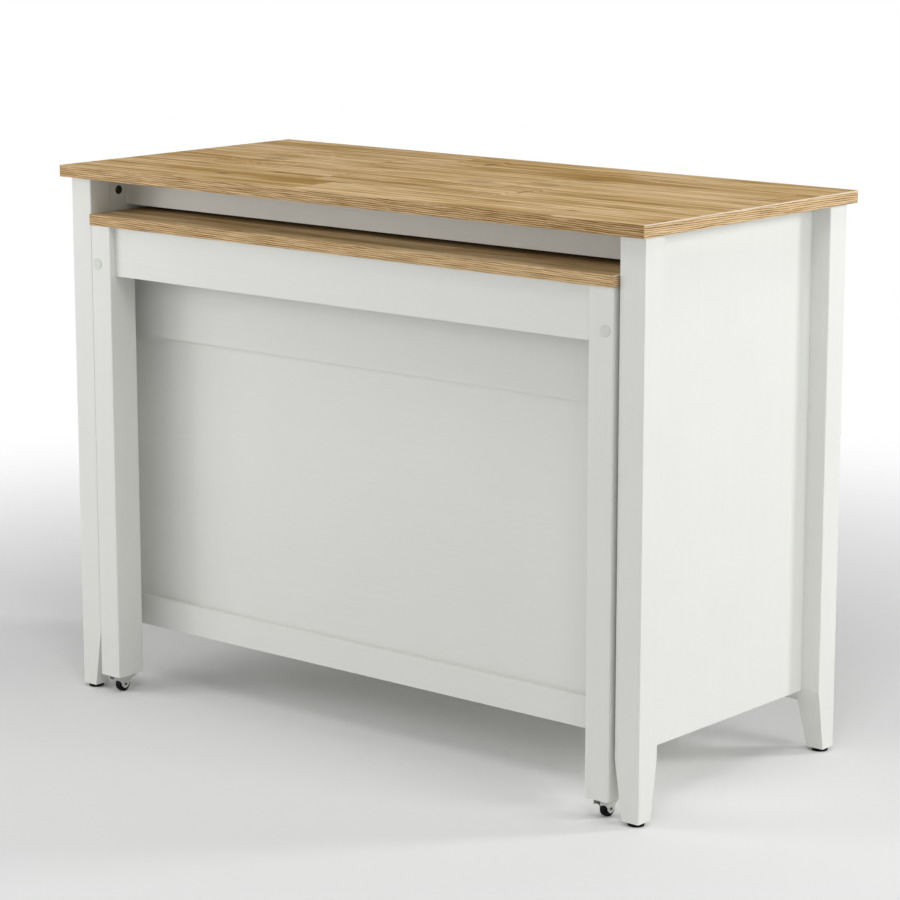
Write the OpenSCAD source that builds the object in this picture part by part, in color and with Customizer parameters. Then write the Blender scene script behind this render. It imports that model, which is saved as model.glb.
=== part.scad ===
// Cabinet table with a pull-out leaf on ball-bearing slides.
// Origin: on the floor, under the middle of the main top. X runs along the width,
// -Y is the side that the leaf comes out of, +Z is up. Millimetres.

/* [Main top] */
// Width of the main top, left to right
top_w = 1200; // [1100:10:1300]
// Depth of the main top, front to back
top_d = 550; // [540:5:600]
// Thickness of the main top
top_t = 19; // [16:1:25]
// Height of the main top's surface above the floor
table_h = 892; // [870:1:920]
// How far the main top stands past the posts on the leaf's side
overhang_front = 17.5; // [12:0.5:22]
// How far the main top stands past the posts on the far side
overhang_back = 15; // [5:0.5:25]
// How far the main top stands past the posts at each end
overhang_side = 10; // [0:0.5:25]
// Radius of the tops' corners, seen from above
top_corner_r = 2; // [0.5:0.5:5]

/* [Posts and feet] */
// Side of the square corner posts
post_w = 45; // [40:1:55]
// Height above the floor at which a post starts to taper
taper_z = 105; // [80:1:140]
// Side of a post's square toe
toe_w = 30; // [24:1:36]
// Radius that eases the start of the taper
taper_blend_r = 80; // [40:5:120]
// Radius along the posts' and the leaf legs' long edges
edge_r = 2; // [0.5:0.5:4]
// Diameter of a floor glide
glide_d = 25.6; // [20:0.2:28]
// Height of a floor glide under its post
glide_h = 6; // [4:0.5:10]
// Diameter of a floor glide's threaded stud
stud_d = 6; // [4:1:8]
// Length of a floor glide's threaded stud
stud_l = 20; // [12:1:30]

/* [Cabinet] */
// Thickness of the side panels
panel_t = 12; // [12:1:18]
// Height of the side panels' lower edge above the floor
panel_z = 101; // [90:1:103]
// Thickness of the rails of the cabinet
rail_t = 18; // [16:1:20]
// Thickness of the inner boards: deck, bottom, divider and shelves
board_t = 15; // [15:1:18]
// Distance from the back of the front posts to the front of the rails between the side panels
frame_setback = 36.5; // [32:0.5:40]
// Height of the rail under the main top
cross_rail_h = 50; // [40:1:52]
// Height of the closing frame's lower edge above the floor
carcass_z = 104; // [100:1:110]
// Height of the closing frame's lower rail
lower_rail_h = 50; // [40:1:70]
// Height of the closing frame's upper rail
upper_rail_h = 100; // [60:1:140]
// Thickness of the closing frame's infill panel
infill_t = 5; // [3:0.5:6]
// How far the infill panel lies behind the front of its rails
infill_recess = 11; // [9:0.5:11]
// How far the infill panel runs into its rails
infill_groove = 8; // [5:1:12]
// How far the far fascia and the toe rail lie inside the rear posts' outer faces
fascia_recess = 10.5; // [5:0.5:15]
// Height of the toe rail's lower edge above the floor
toe_rail_z = 78.5; // [60:0.5:90]

/* [Shelves] */
// How far the shelves stop short of the fascia's inner face
shelf_setback = 30; // [5:1:60]
// Height of the middle row of shelf pin holes above the bottom board
shelf_rise = 270; // [220:5:330]
// Number of shelf pin holes in a column
pin_holes = 5; // [1:2:7]
// Pitch of the shelf pin holes
pin_pitch = 32; // [32:1:40]
// Diameter of a shelf pin
pin_d = 5; // [4:1:7]
// Depth of a shelf pin's hole
pin_depth = 7; // [5:0.5:7]
// How far a shelf pin stands out of its hole
pin_out = 8; // [6:0.5:12]
// Gap between a shelf's edges and what is beside it
shelf_gap = 1; // [0.5:0.5:3]

/* [Leaf] */
// Thickness of the leaf's top
leaf_t = 18; // [16:1:25]
// Gap between the leaf's top and the rail under the main top
leaf_top_gap = 8.5; // [5:0.5:12]
// Gap between each end of the leaf's top and the posts
leaf_side_gap = 4; // [3:0.5:6]
// How far the leaf's front edge stands in front of the posts
leaf_proud = 8.5; // [5:0.5:11]
// Gap between the leaf's back edge and the fascia
leaf_back_gap = 12.5; // [8:0.5:20]
// Width of a leaf leg
leaf_leg_w = 44; // [40:1:50]
// Depth of a leaf leg
leaf_leg_d = 56; // [50:1:58]
// How far the leaf's top stands past its legs
leaf_leg_inset = 2; // [1:0.5:3]
// Height of the leaf's apron and rails
apron_h = 82; // [76:1:90]
// Thickness of the leaf's apron and rails
leaf_rail_t = 15; // [14:1:16]
// How far the apron lies behind the front of the leaf legs
apron_setback = 10.5; // [5:0.5:15]
// Height of the batten under the middle of the leaf
batten_h = 50; // [40:1:70]
// Clearance between the leaf's rails and the deck under them
deck_gap = 9.5; // [6:0.5:15]

/* [Slides] */
// Thickness of a closed slide, from the side panel to the leaf's side rail
slide_t = 12.7; // [12.7:0.1:13.2]
// Height of a slide
slide_h = 45; // [44:0.5:46]
// Slides come in lengths that are multiples of this step
slide_step = 50; // [25:25:100]
// Distance from the back of a leaf leg to the front end of a slide
slide_setback = 4; // [2:0.5:8]
// Thickness of a slide's steel
slide_metal = 1.1; // [1:0.05:1.2]
// Diameter of the balls
ball_d = 3.8; // [3.6:0.1:3.8]
// Height of a ball race between two members
race_h = 4.1; // [4.1:0.05:4.3]
// Pitch of the balls in a cage
ball_pitch = 12; // [9:1:14]
// Balls in each row of a cage
balls_per_row = 8; // [4:1:8]
// Thickness of a ball cage
cage_t = 0.4; // [0.3:0.05:0.5]

/* [Casters] */
// Diameter of a caster wheel
wheel_d = 25; // [22:0.5:26]
// Width of a caster wheel
wheel_w = 11; // [9:0.5:13]
// Height of a caster, from the floor to the underside of the leaf leg
caster_h = 31; // [30:0.5:36]
// Length of a caster's plate
plate_l = 50; // [48:1:54]
// Thickness of a caster bracket's steel
plate_t = 1.5; // [1.2:0.1:2]
// Gap between a wheel and each cheek of its bracket
cheek_gap = 0.5; // [0.3:0.1:1]
// Radius of a cheek's rounded tip round the axle
cheek_r = 7; // [5:0.5:7.5]
// Depth of a cheek's ends, from the underside of the leaf leg
cheek_end_h = 8; // [5:0.5:10]
// Length of the hollow curve at each end of a cheek
cheek_hollow_l = 17; // [14:0.5:17]
// Height of the hollow curve at each end of a cheek
cheek_hollow_h = 12; // [10:0.5:13]
// Diameter of a caster's axle
axle_d = 3.5; // [3:0.5:5]

/* [Fixings] */
// Diameter of the dowels in rails and boards
dowel_d = 8; // [6:1:8]
// Diameter of the dowels in the side panels' edges
edge_dowel_d = 6; // [4:1:6]
// Length of a dowel
dowel_l = 30; // [24:1:36]
// Depth of a dowel in the side panel, post or board that it meets end-on
dowel_bite = 8; // [6:0.5:8]
// Diameter of a cam lock
cam_d = 15; // [12:0.5:15]
// Depth of a cam lock in its side panel
cam_depth = 9.5; // [9:0.1:9.5]
// Distance from a side panel's edge to the middle of its cam locks
cam_setback = 19; // [16:0.5:24]
// Diameter of a cam bolt's head
cam_head_d = 7; // [6:0.5:8]
// Length of a cam bolt's thread in its post
cam_thread_l = 11; // [8:0.5:14]
// Arm length of the angle brackets under the two tops
angle_arm = 26; // [22:1:30]
// Width of the angle brackets
angle_w = 16; // [12:1:20]
// Thickness of the angle brackets' steel
angle_t = 2; // [1.5:0.1:2.5]
// Diameter of the wood screws' shanks
screw_d = 3.5; // [3:0.1:4]
// Length of the wood screws
screw_l = 12; // [10:0.5:12.5]
// Diameter of the bolts that join the leaf's legs to its side rails
bolt_d = 6; // [5:1:6]
// Height of the leg bolts above the lower edge of the leaf's rails
bolt_rise = 18.5; // [16:0.5:22]
// Diameter of the barrel nuts on those bolts
barrel_d = 10; // [9:0.5:12]
// Diameter of the cover caps over those bolts
cap_d = 18; // [16:0.5:20]
// Thickness of the cover caps
cap_t = 1; // [0.6:0.1:1.5]

/* [Hidden] */

$fn = 48;
LEFT = -1;
RIGHT = 1;
FRONT = -1;
REAR = 1;
// Radial clearance of a dowel, bolt, stud, pin or screw in its hole
fit = 0.05;
// How far a cutting body runs past the face that it cuts
past = 1;

paint = "#dfe1db";
oak = "#c39a5f";
zinc = "#9a9a92";
black = "#1b1b1c";
beech = "#d9bd8f";

// Planes of the cabinet
post_x = top_w / 2 - overhang_side;
inner_x = post_x - post_w;
post_front = -top_d / 2 + overhang_front;
post_rear = top_d / 2 - overhang_back;
panel_front = post_front + post_w;
panel_rear = post_rear - post_w;
top_under = table_h - top_t;
frame_front = panel_front + frame_setback;
frame_rear = frame_front + rail_t;
fascia_rear = post_rear - fascia_recess;
fascia_front = fascia_rear - rail_t;
cross_rail_z = top_under - cross_rail_h;

// Planes of the leaf
leaf_z = cross_rail_z - leaf_top_gap;
leaf_under = leaf_z - leaf_t;
leaf_rail_z = leaf_under - apron_h;
leaf_x = inner_x - leaf_side_gap;
leaf_front = post_front - leaf_proud;
leaf_rear = fascia_front - leaf_back_gap;
leg_x = leaf_x - leaf_leg_inset;
leg_inner_x = leg_x - leaf_leg_w;
leg_front = leaf_front + leaf_leg_inset;
leg_rear = leg_front + leaf_leg_d;
apron_front = leg_front + apron_setback;
apron_rear = apron_front + leaf_rail_t;
rail_x = inner_x - slide_t;
rail_inner_x = rail_x - leaf_rail_t;
rail_mid_x = rail_x - leaf_rail_t / 2;

// Slides: the longest standard length between the leaf's legs and the fascia
slide_room = 25;
slide_front = leg_rear + slide_setback;
slide_l = slide_step * floor((fascia_front - slide_room - slide_front) / slide_step);
slide_rear = slide_front + slide_l;
slide_z = leaf_rail_z + apron_h / 2;
rail_past_slide = 9;
side_rail_rear = slide_rear + rail_past_slide;
rear_rail_front = side_rail_rear - leaf_rail_t;

// Heights of the cabinet's boards
deck_z = leaf_rail_z - deck_gap;
deck_under = deck_z - board_t;
upper_rail_z = deck_z - upper_rail_h;
lower_rail_top = carcass_z + lower_rail_h;
bottom_z = carcass_z + board_t;
pin_z = bottom_z + shelf_rise;
shelf_under = pin_z + pin_d / 2 + fit;

function ends(low, high, margin) = [low + margin, high - margin];

// ---------- Shared forms ----------

// A box between two corners
module block(x0, x1, y0, y1, z0, z1) {
    translate([x0, y0, z0]) cube([x1 - x0, y1 - y0, z1 - z0]);
}

// Repeats or moves what stands on the right to the left too
module on(side) {
    mirror([side < 0 ? 1 : 0, 0, 0]) children();
}

// A rod along X, Y or Z, from start to start + length
module rod_x(p, d, l) { translate(p) rotate([0, 90, 0]) cylinder(d = d, h = l); }
module rod_y(p, d, l) { translate(p) rotate([-90, 0, 0]) cylinder(d = d, h = l); }
module rod_z(p, d, l) { translate(p) cylinder(d = d, h = l); }

// Extrudes an outline drawn in X and Z along Y
module along_y(y0, y1) {
    translate([0, y1, 0]) rotate([90, 0, 0]) linear_extrude(y1 - y0) children();
}

// Extrudes an outline drawn in Y and Z along X
module along_x(x0, x1) {
    translate([x0, 0, 0]) rotate([90, 0, 90]) linear_extrude(x1 - x0) children();
}

// A rectangle with round corners
module round_rect(w, d, r) {
    translate([r, 0]) square([w - 2 * r, d]);
    translate([0, r]) square([w, d - 2 * r]);
    for (x = [r, w - r], y = [r, d - r]) translate([x, y]) circle(r);
}

// ---------- Fixings ----------

// Where the dowels along X meet the side panels and posts: [y, z] of each, the same on both sides
rail_mid_y = (frame_front + frame_rear) / 2;
fascia_mid_y = (fascia_front + fascia_rear) / 2;
board_dowel_y = ends(frame_rear, fascia_front, 40);
cross_rail_dowels = [for (z = ends(cross_rail_z, top_under, 12)) [rail_mid_y, z]];
upper_rail_dowels = [for (z = ends(upper_rail_z, deck_z, 20)) [rail_mid_y, z]];
lower_rail_dowels = [for (z = ends(carcass_z, lower_rail_top, 12)) [rail_mid_y, z]];
fascia_dowels = [for (z = ends(deck_z, top_under, 30)) [fascia_mid_y, z]];
toe_rail_dowels = [for (z = ends(toe_rail_z, bottom_z, 10)) [fascia_mid_y, z]];
deck_dowels = [for (y = board_dowel_y) [y, deck_under + board_t / 2]];
bottom_dowels = [for (y = board_dowel_y) [y, carcass_z + board_t / 2]];
panel_dowels = concat(cross_rail_dowels, upper_rail_dowels, lower_rail_dowels, deck_dowels,
    bottom_dowels);
post_dowels = concat(fascia_dowels, toe_rail_dowels);

// Dowels along X, sunk by dowel_bite past the joint face at face_x
module cross_dowels(points, face_x, slack = 0) {
    for (side = [LEFT, RIGHT], p = points) {
        on(side) rod_x([face_x + dowel_bite - dowel_l - slack, p[0], p[1]], dowel_d + 2 * slack,
            dowel_l + 2 * slack);
    }
}

// Dowels that hold the divider between the bottom board and the deck
module divider_dowels(slack = 0) {
    for (y = board_dowel_y) {
        rod_z([0, y, bottom_z - dowel_bite - slack], dowel_d + 2 * slack, dowel_l + 2 * slack);
        rod_z([0, y, deck_under + dowel_bite - dowel_l - slack], dowel_d + 2 * slack,
            dowel_l + 2 * slack);
    }
}

// Joints between side panels and posts: cam locks, and dowels between them
cam_margin_top = 25;
cam_margin_bottom = 49;
cam_zs = [panel_z + cam_margin_bottom, (panel_z + cam_margin_bottom + top_under - cam_margin_top) / 2,
    top_under - cam_margin_top];
edge_dowel_zs = [(cam_zs[0] * 2 + cam_zs[1]) / 3, (cam_zs[1] * 2 + cam_zs[2]) / 3];
panel_mid_x = inner_x + panel_t / 2;

module edge_dowels(slack = 0) {
    for (side = [LEFT, RIGHT], z = edge_dowel_zs, y = [panel_front, panel_rear]) {
        on(side) rod_y([panel_mid_x, y - dowel_l / 2 - slack, z], edge_dowel_d + 2 * slack,
            dowel_l + 2 * slack);
    }
}

// Places its children at each cam lock, with local +Y pointing from the cam to its post
module at_cams() {
    for (side = [LEFT, RIGHT], z = cam_zs, end = [FRONT, REAR]) {
        y = end == FRONT ? panel_front + cam_setback : panel_rear - cam_setback;
        on(side) translate([inner_x, y, z]) mirror([0, end == FRONT ? 1 : 0, 0]) children();
    }
}

cam_bolt_d = cam_head_d - 1;
cam_bolt_x = panel_t / 2;
cam_head_l = 4;
cam_cavity_d = cam_head_d + 1;

// Pocket for a cam in the panel, with the bolt's bore from the panel's edge
module cam_pocket() {
    rod_x([-past, 0, 0], cam_d + 2 * fit, cam_depth + past + fit);
    rod_y([cam_bolt_x, 0, 0], cam_cavity_d, cam_setback + past);
}

// Hole for a cam bolt's thread in the post
module cam_thread_hole() {
    rod_y([cam_bolt_x, cam_setback - past, 0], cam_bolt_d + 2 * fit, cam_thread_l + past + fit);
}

module dowels() {
    color(beech) {
        cross_dowels(panel_dowels, inner_x);
        cross_dowels(post_dowels, inner_x);
        divider_dowels();
        edge_dowels();
    }
}

module cam_locks() {
    slot_l = cam_d * 0.55;
    slot_w = 1.6;
    slot_depth = 1;
    color(black) at_cams() difference() {
        rod_x([0.2, 0, 0], cam_d, cam_depth - 0.2);
        rod_y([cam_bolt_x, -cam_head_d / 2, 0], cam_cavity_d, cam_d);
        for (turn = [0, 90]) rotate([turn, 0, 0])
            translate([-past, -slot_l / 2, -slot_w / 2]) cube([past + slot_depth + 0.2, slot_l, slot_w]);
    }
}

module cam_bolts() {
    color(zinc) at_cams() {
        rod_y([cam_bolt_x, cam_head_l - past, 0], cam_bolt_d, cam_setback + cam_thread_l - cam_head_l + past);
        rod_y([cam_bolt_x, 0, 0], cam_head_d, cam_head_l);
    }
}

// A wood screw pointing along local -Z, its head's underside at z = 0
head_d = 2 * screw_d;
head_h = 2;
module pan_screw() {
    translate([0, 0, -screw_l]) cylinder(d = screw_d, h = screw_l + past);
    rotate_extrude() {
        intersection() {
            translate([0, -head_d + head_h]) circle(head_d);
            square([head_d / 2, head_h]);
        }
    }
}
module pilot(depth = screw_l) {
    translate([0, 0, -depth - fit]) cylinder(d = screw_d + 2 * fit, h = depth + fit + past);
}

// An angle bracket in the corner between a wall at x = 0 and a board over z = 0
hole_out = angle_arm * 0.62;
module angle_bracket() {
    difference() {
        union() {
            block(0, angle_t, -angle_w / 2, angle_w / 2, -angle_arm, 0);
            block(0, angle_arm, -angle_w / 2, angle_w / 2, -angle_t, 0);
        }
        rod_x([-past, 0, -hole_out], screw_d + 0.8, angle_t + 2 * past);
        rod_z([hole_out, 0, -angle_t - past], screw_d + 0.8, angle_t + 2 * past);
    }
}
// Places its children, which point along local -Z, at the bracket's two holes
module at_bracket_holes() {
    translate([angle_t, 0, -hole_out]) rotate([0, 90, 0]) children();
    translate([hole_out, 0, -angle_t]) rotate([180, 0, 0]) children();
}

// Brackets under the main top: [x, y, turn about Z]
bracket_span = top_w / 3;
top_bracket_places = [
    for (x = [-bracket_span, 0, bracket_span]) [x, frame_rear, 90],
    for (x = [-bracket_span, 0, bracket_span]) [x, fascia_front, -90],
    [inner_x, 0, 180], [-inner_x, 0, 0]];
module at_top_brackets() {
    for (p = top_bracket_places) translate([p[0], p[1], top_under]) rotate([0, 0, p[2]]) children();
}
module top_brackets() {
    color(zinc) at_top_brackets() angle_bracket();
}
module top_bracket_screws() {
    color(zinc) at_top_brackets() at_bracket_holes() pan_screw();
}
module top_bracket_pilots() {
    at_top_brackets() at_bracket_holes() pilot();
}

// ---------- Cabinet ----------

module main_top() {
    color(oak) difference() {
        translate([-top_w / 2, -top_d / 2, top_under])
            linear_extrude(top_t) round_rect(top_w, top_d, top_corner_r);
        top_bracket_pilots();
    }
}

// Outline of a post seen along one side: the outer face at 0, the taper on the inner face
taper_angle = atan((post_w - toe_w) / (taper_z - glide_h));
blend_steps = 6;
module post_outline() {
    blend = [for (i = [0:blend_steps]) let (a = taper_angle * i / blend_steps)
        [post_w - taper_blend_r * (1 - cos(a)),
         taper_z + taper_blend_r * tan(taper_angle / 2) - taper_blend_r * sin(a)]];
    polygon(concat([[0, glide_h], [0, top_under], [post_w, top_under]], blend, [[toe_w, glide_h]]));
}

// A post with its outer corner at the origin and its tapered faces towards +X and +Y
module post_blank() {
    intersection() {
        translate([0, 0, glide_h]) linear_extrude(top_under - glide_h) round_rect(post_w, post_w, edge_r);
        along_y(-past, post_w + past) post_outline();
        along_x(-past, post_w + past) post_outline();
    }
}

// Puts a post, or what belongs to it, at its corner of the cabinet
module at_post(side, end) {
    translate([side * post_x, end == FRONT ? post_front : post_rear, 0])
        mirror([side > 0 ? 1 : 0, 0, 0]) mirror([0, end > 0 ? 1 : 0, 0]) children();
}

module post(side, end) {
    color(paint) difference() {
        at_post(side, end) difference() {
            post_blank();
            rod_z([toe_w / 2, toe_w / 2, glide_h - past], stud_d + 2 * fit, stud_l + past + fit);
        }
        at_cams() cam_thread_hole();
        edge_dowels(fit);
        cross_dowels(post_dowels, inner_x, fit);
    }
}

// The four glides under the posts: a domed foot with a stud
module floor_glides() {
    lip = 1.5;
    color(black) for (side = [LEFT, RIGHT], end = [FRONT, REAR]) {
        at_post(side, end) translate([toe_w / 2, toe_w / 2, 0]) {
            rotate_extrude() {
                square([glide_d / 2 - lip, glide_h]);
                translate([0, lip]) square([glide_d / 2, glide_h - lip]);
                translate([glide_d / 2 - lip, lip]) circle(lip);
            }
            translate([0, 0, glide_h - past]) cylinder(d = stud_d, h = stud_l + past);
        }
    }
}

// The two faces of a row of shelf pin holes, by distance from the front rails and from the fascia
pin_inset = 45;
pin_ys = [frame_rear + pin_inset, fascia_front - shelf_setback - pin_inset];
pin_zs = [for (i = [0:pin_holes - 1]) pin_z + (i - (pin_holes - 1) / 2) * pin_pitch];
module pin_columns() {
    for (side = [LEFT, RIGHT], y = pin_ys, z = pin_zs) on(side) {
        rod_x([inner_x - past, y, z], pin_d + 2 * fit, pin_depth + past + fit);
        rod_x([board_t / 2 - pin_depth - fit, y, z], pin_d + 2 * fit, pin_depth + past + fit);
    }
}

module shelf_pins() {
    collar = 1;
    color(zinc) for (side = [LEFT, RIGHT], y = pin_ys) on(side) {
        rod_x([inner_x - pin_out, y, pin_z], pin_d, pin_out + pin_depth);
        rod_x([inner_x - collar, y, pin_z - collar], pin_d + 1.6, collar);
        rod_x([board_t / 2 - pin_depth, y, pin_z], pin_d, pin_out + pin_depth);
        rod_x([board_t / 2, y, pin_z - collar], pin_d + 1.6, collar);
    }
}

module side_panel(side) {
    color(paint) difference() {
        on(side) block(inner_x, inner_x + panel_t, panel_front, panel_rear, panel_z, top_under);
        at_cams() cam_pocket();
        edge_dowels(fit);
        cross_dowels(panel_dowels, inner_x, fit);
        pin_columns();
        top_bracket_pilots();
        at_outer_screws() outer_screw_pilot();
    }
}

module cross_rail() {
    color(paint) difference() {
        block(-inner_x, inner_x, frame_front, frame_rear, cross_rail_z, top_under);
        cross_dowels(cross_rail_dowels, inner_x, fit);
        top_bracket_pilots();
    }
}

// The space that the infill panel takes, with room to slide in
module infill_space(slack) {
    block(-inner_x - past, inner_x + past, frame_front + infill_recess - slack,
        frame_front + infill_recess + infill_t + slack,
        lower_rail_top - infill_groove - slack, upper_rail_z + infill_groove + slack);
}

module closing_rail_upper() {
    color(paint) difference() {
        block(-inner_x, inner_x, frame_front, frame_rear, upper_rail_z, deck_z);
        infill_space(0.1);
        cross_dowels(upper_rail_dowels, inner_x, fit);
    }
}

module closing_rail_lower() {
    color(paint) difference() {
        block(-inner_x, inner_x, frame_front, frame_rear, carcass_z, lower_rail_top);
        infill_space(0.1);
        cross_dowels(lower_rail_dowels, inner_x, fit);
    }
}

module closing_panel() {
    end_gap = 0.3;
    color(paint) intersection() {
        infill_space(0);
        block(-inner_x + end_gap, inner_x - end_gap, frame_front, frame_rear, carcass_z, deck_z);
    }
}

module rear_fascia() {
    color(paint) difference() {
        block(-inner_x, inner_x, fascia_front, fascia_rear, deck_under, top_under);
        cross_dowels(fascia_dowels, inner_x, fit);
        top_bracket_pilots();
    }
}

module toe_rail() {
    color(paint) difference() {
        block(-inner_x, inner_x, fascia_front, fascia_rear, toe_rail_z, bottom_z);
        cross_dowels(toe_rail_dowels, inner_x, fit);
    }
}

module deck() {
    color(paint) difference() {
        block(-inner_x, inner_x, frame_rear, fascia_front, deck_under, deck_z);
        cross_dowels(deck_dowels, inner_x, fit);
        divider_dowels(fit);
    }
}

module bottom_board() {
    color(paint) difference() {
        block(-inner_x, inner_x, frame_rear, fascia_front, carcass_z, bottom_z);
        cross_dowels(bottom_dowels, inner_x, fit);
        divider_dowels(fit);
    }
}

module centre_divider() {
    color(paint) difference() {
        block(-board_t / 2, board_t / 2, frame_rear, fascia_front, bottom_z, deck_under);
        divider_dowels(fit);
        pin_columns();
    }
}

module shelf(side) {
    color(paint) on(side) block(board_t / 2 + shelf_gap, inner_x - shelf_gap, frame_rear + shelf_gap,
        fascia_front - shelf_setback, shelf_under, shelf_under + board_t);
}

// ---------- Slides ----------
// Outlines are drawn in u and z: u runs from the side panel's face towards the leaf, and z from
// the slide's middle. Each member is a C of folded steel with a lip that keeps the balls in.

side_play = 0.2;
lip_slack = 0.1;
outer_half = slide_h / 2;
outer_reach = 10.2;
middle_u = slide_metal + cage_t + 2 * side_play;
middle_half = outer_half - slide_metal - race_h;
middle_reach = 10.9;
inner_half = middle_half - slide_metal - race_h;
inner_reach = middle_u + slide_metal + cage_t + 2 * side_play + lip_slack;
lip_h = 1.2;
inner_lip_h = 0.9;
outer_ball_z = outer_half - slide_metal - race_h / 2;
inner_ball_z = middle_half - slide_metal - race_h / 2;
outer_ball_u = (middle_u + outer_reach - slide_metal) / 2 + side_play;
inner_ball_u = (inner_reach + slide_metal + middle_reach - slide_metal) / 2;
cage_l = balls_per_row * ball_pitch;
cage_setback = 2;
cage_front = slide_front + slide_l / 4 + cage_setback;

// Draws at a slide: u becomes X from the panel's face inwards, z is lifted to the slide's height
module at_slide(side) {
    on(side) translate([inner_x, 0, slide_z]) mirror([1, 0, 0]) children();
}

// Mirrors what is drawn above the slide's middle to below it
module both_flanges() {
    children();
    mirror([0, 1]) children();
}

module outer_outline() {
    translate([0, -outer_half]) square([slide_metal, slide_h]);
    both_flanges() {
        translate([0, outer_half - slide_metal]) square([outer_reach, slide_metal]);
        translate([outer_reach - slide_metal, outer_half - slide_metal - lip_h])
            square([slide_metal, lip_h + slide_metal]);
    }
}

module middle_outline() {
    translate([middle_u, -middle_half]) square([slide_metal, 2 * middle_half]);
    both_flanges() {
        translate([middle_u, middle_half - slide_metal]) square([middle_reach - middle_u, slide_metal]);
        translate([middle_reach - slide_metal, middle_half - slide_metal - lip_h])
            square([slide_metal, lip_h + slide_metal]);
    }
}

module inner_outline() {
    translate([slide_t - slide_metal, -inner_half]) square([slide_metal, 2 * inner_half]);
    both_flanges() {
        translate([inner_reach, inner_half - slide_metal]) square([slide_t - inner_reach, slide_metal]);
        translate([inner_reach, inner_half - slide_metal]) square([slide_metal, slide_metal + inner_lip_h]);
    }
}

screw_inset = 35;
slide_screw_ys = [slide_front + screw_inset, (slide_front + slide_rear) / 2, slide_rear - screw_inset];

// Screws of the outer members: countersunk flush with the web, into the side panel
module at_outer_screws() {
    for (side = [LEFT, RIGHT], y = slide_screw_ys)
        on(side) translate([inner_x, y, slide_z]) rotate([0, -90, 0]) children();
}
flat_head_d = 6.8;
panel_screw_l = 10;
module outer_screw_pilot() {
    translate([0, 0, -panel_screw_l - fit]) cylinder(d = screw_d + 2 * fit, h = panel_screw_l + past);
}
module slide_panel_screws() {
    color(zinc) at_outer_screws() {
        translate([0, 0, -panel_screw_l]) cylinder(d = screw_d, h = panel_screw_l);
        cylinder(d1 = screw_d, d2 = flat_head_d, h = slide_metal - fit);
    }
}
module countersink() {
    translate([0, 0, -past]) cylinder(d = screw_d + 2 * fit, h = 2 * past);
    cylinder(d1 = screw_d + 2 * fit, d2 = flat_head_d + 4 * fit, h = slide_metal + fit / 5);
}

// Screws of the inner members, into the leaf's side rails
module at_inner_screws() {
    for (side = [LEFT, RIGHT], y = slide_screw_ys)
        on(side) translate([rail_x + slide_metal, y, slide_z]) rotate([0, 90, 0]) children();
}
module slide_rail_screws() {
    color(zinc) at_inner_screws() pan_screw();
}

module slide_outer(side) {
    color(zinc) difference() {
        at_slide(side) along_y(slide_front, slide_rear) outer_outline();
        at_outer_screws() countersink();
    }
}

module slide_middle(side) {
    color(zinc) at_slide(side) along_y(slide_front, slide_rear) middle_outline();
}

module slide_inner(side) {
    color(zinc) difference() {
        at_slide(side) along_y(slide_front, slide_rear) inner_outline();
        at_inner_screws() pilot();
    }
}

// A ball cage: a folded strip with a row of balls above and below
module cage(side, web_u, lip_reach, ball_u, ball_z) {
    color(zinc) at_slide(side) {
        difference() {
            along_y(cage_front, cage_front + cage_l) {
                translate([web_u, -ball_z - cage_t / 2]) square([cage_t, 2 * ball_z + cage_t]);
                both_flanges() translate([web_u, ball_z - cage_t / 2]) square([lip_reach - web_u, cage_t]);
            }
            at_balls(ball_u, ball_z) cylinder(d = ball_d + 2 * fit, h = 3 * cage_t, center = true);
        }
        at_balls(ball_u, ball_z) sphere(d = ball_d);
    }
}
module at_balls(ball_u, ball_z) {
    for (i = [0:balls_per_row - 1], up = [-1, 1])
        translate([ball_u, cage_front + (i + 0.5) * ball_pitch, up * ball_z]) children();
}
module cage_outer(side) {
    cage(side, slide_metal + side_play, outer_reach - slide_metal - 2 * side_play, outer_ball_u,
        outer_ball_z);
}
module cage_inner(side) {
    cage(side, middle_u + slide_metal + side_play, middle_reach - slide_metal - 2 * side_play,
        inner_ball_u, inner_ball_z);
}

// ---------- Leaf ----------

leaf_bracket_span = leaf_x / 2;
leaf_bracket_y = slide_l * 0.3;
leaf_bracket_places = [
    for (x = [-leaf_bracket_span, leaf_bracket_span]) [x, apron_rear, 90],
    for (x = [-leaf_bracket_span, leaf_bracket_span]) [x, rear_rail_front, -90],
    for (y = [-leaf_bracket_y, leaf_bracket_y]) [rail_inner_x, y, 180],
    for (y = [-leaf_bracket_y, leaf_bracket_y]) [-rail_inner_x, y, 0]];
module at_leaf_brackets() {
    for (p = leaf_bracket_places)
        translate([p[0], p[1], leaf_under]) rotate([0, 0, p[2]]) children();
}
module leaf_brackets() {
    color(zinc) at_leaf_brackets() angle_bracket();
}
module leaf_bracket_screws() {
    color(zinc) at_leaf_brackets() at_bracket_holes() pan_screw();
}
module leaf_bracket_pilots() {
    at_leaf_brackets() at_bracket_holes() pilot();
}

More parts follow.
